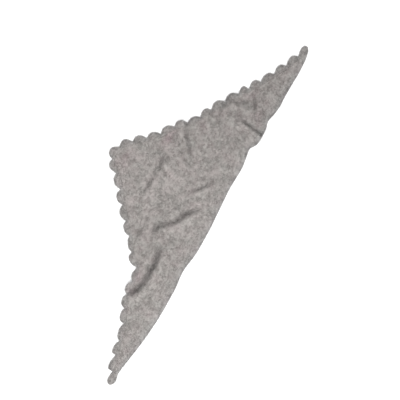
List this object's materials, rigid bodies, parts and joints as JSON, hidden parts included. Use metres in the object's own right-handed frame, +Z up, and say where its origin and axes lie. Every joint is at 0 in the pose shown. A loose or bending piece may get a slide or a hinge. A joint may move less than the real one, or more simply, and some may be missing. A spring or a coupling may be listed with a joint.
{
  "type": "triangle shawl",
  "caption": "Wide knitted triangle shawl with scalloped short sides and a leaf at each tip, lying flat with soft creases.",
  "frame": {"origin": "middle of the shawl's box on the surface it lies on", "axes": "+X along the long edge from the left tip to the right one, +Y from the long edge to the back point, +Z up"},
  "size_m": [1.5062, 0.4874, 0.0239],
  "materials": {
    "panel_knit": "matt brushed wool knit in a warm melange grey",
    "edging_knit": "matt brushed wool knit, a little denser and darker at the rims of the scallops",
    "leaf_knit": "matt brushed wool knit, dense"
  },
  "bodies": {
    "root": {"body_panel": "panel_knit", "edging_left": "edging_knit", "edging_right": "edging_knit", "apex_scallop": "edging_knit", "end_leaf_left": "leaf_knit", "end_leaf_right": "leaf_knit"}
  },
  "joints": []
}
